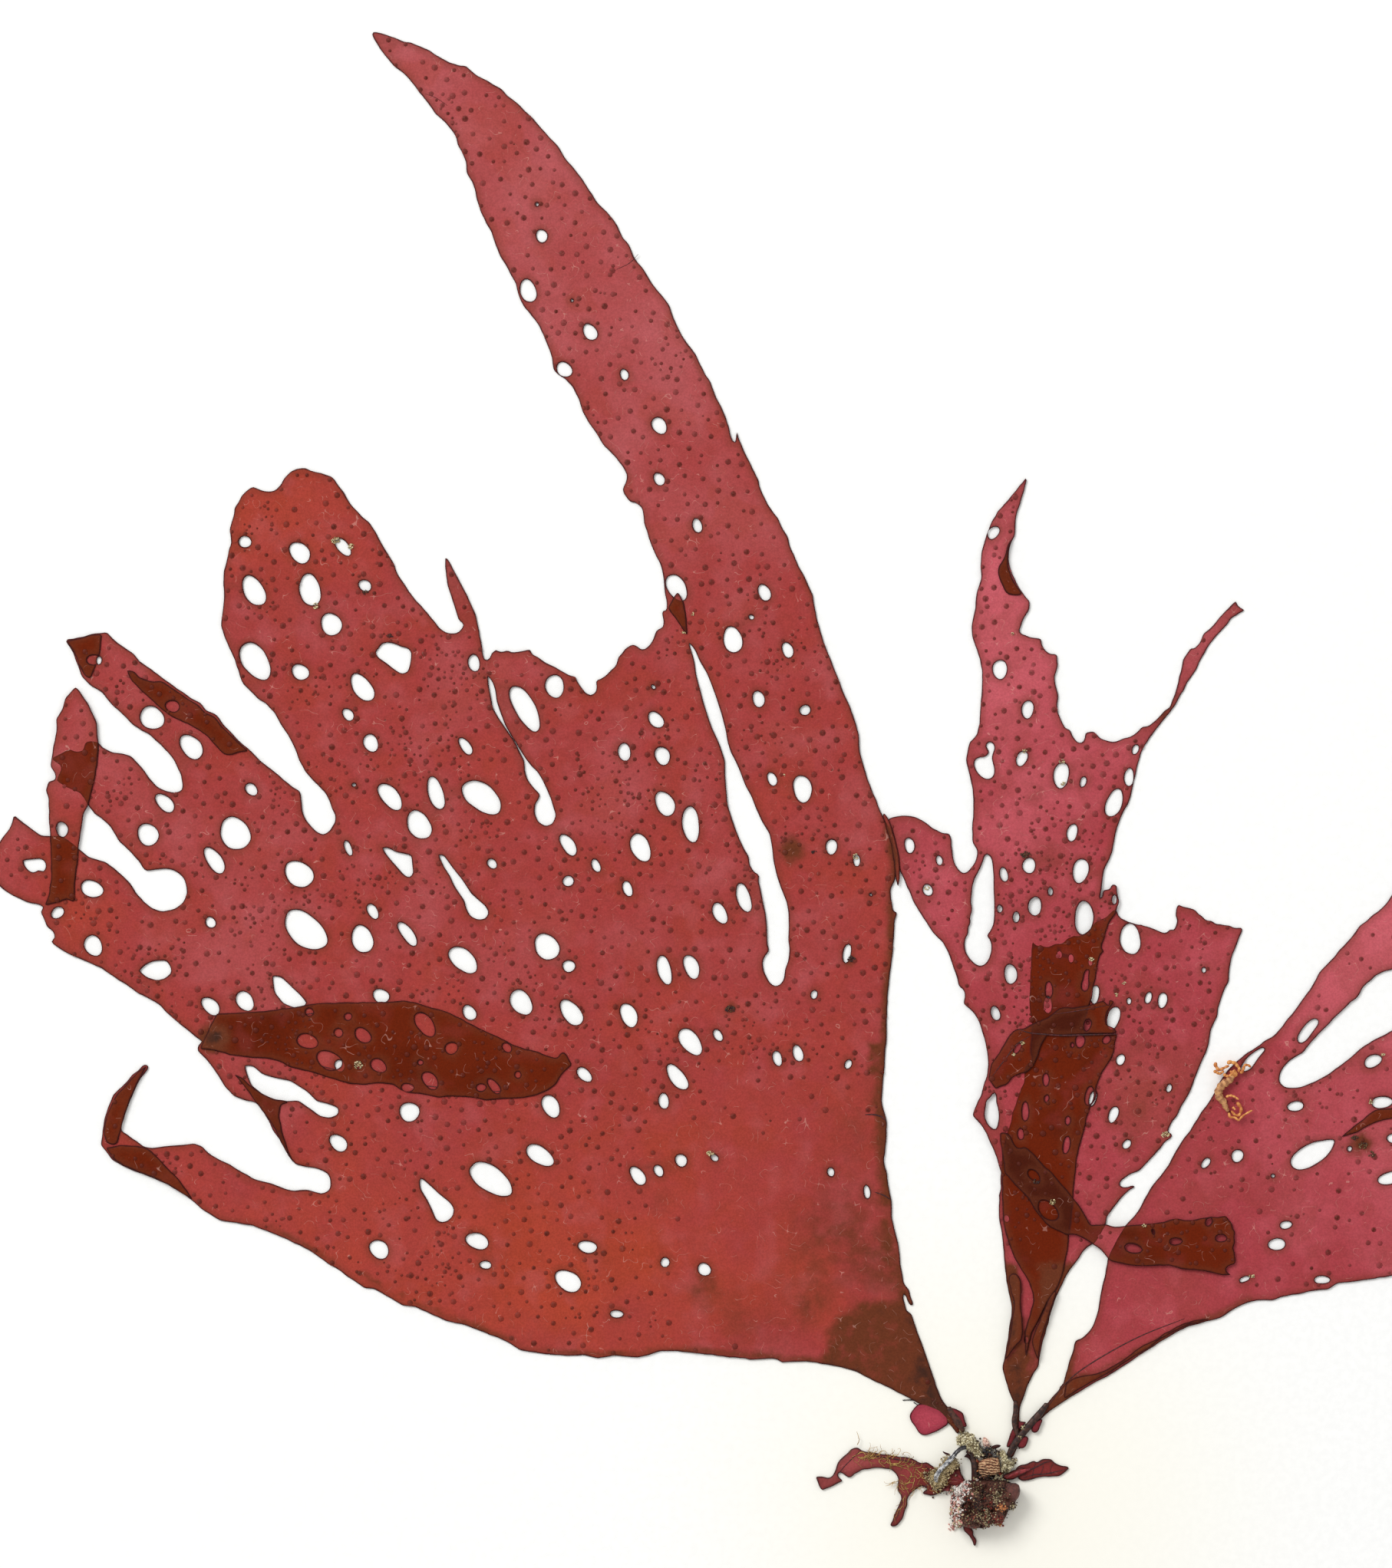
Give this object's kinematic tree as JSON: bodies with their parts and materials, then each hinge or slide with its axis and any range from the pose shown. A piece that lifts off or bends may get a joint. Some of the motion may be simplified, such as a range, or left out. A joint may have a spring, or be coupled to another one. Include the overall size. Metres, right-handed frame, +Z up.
{
  "type": "perforated red seaweed",
  "caption": "Pressed red seaweed lying flat: thin holed and lobed fronds on short stipes that rise from a lumpy, sandy holdfast.",
  "frame": {"origin": "middle of the holdfast's flat underside, on the surface the plant lies on", "axes": "+Z up off the surface it lies on, +Y up the plant from the holdfast to the frond tips, +X to the right of the picture"},
  "size_m": [0.2362, 0.2349, 0.0058],
  "materials": {
    "blade": "dry, thin and satin",
    "blade_pink": "dry, thin and satin",
    "young_blade": "dry and matt",
    "holdfast": "rough, gritty",
    "sand": "rough, gritty",
    "shell": "matt, ridged",
    "sponge": "rough, crumbly",
    "shrimp": "matt"
  },
  "bodies": {
    "root": {"frond_left": "blade", "frond_middle": "blade_pink", "frond_right": "blade_pink", "bladelet_left": "young_blade", "bladelet_right": "young_blade", "holdfast": "holdfast", "sand_left": "sand", "sand_right": "sand", "barnacle_plate": "shell", "shell_chip": "shell", "sponge_crust": "sponge", "dried_shrimp": "shrimp"}
  },
  "joints": []
}
